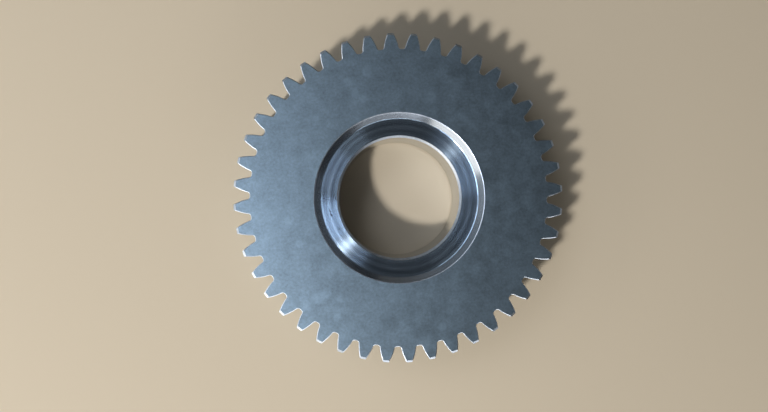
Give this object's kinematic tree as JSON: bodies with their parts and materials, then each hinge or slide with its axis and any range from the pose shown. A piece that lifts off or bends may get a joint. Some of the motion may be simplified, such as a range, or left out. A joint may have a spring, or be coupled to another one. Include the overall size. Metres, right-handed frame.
{
  "type": "spur gear",
  "caption": "Steel transmission spur gear with chamfered involute teeth, a plain through bore and a shallow turned recess with a flat shoulder round the bore.",
  "frame": {"origin": "middle of the flat lower face, on the bore axis", "axes": "+Z along the bore axis, from the lower face towards the recessed upper face; +X through the middle of a tooth"},
  "size_m": [0.23, 0.23, 0.04],
  "materials": {
    "gear_steel": "satin blue-grey hardened faces, bright turned recess, bore and edge chamfers"
  },
  "bodies": {
    "root": {"gear": "gear_steel"}
  },
  "joints": []
}
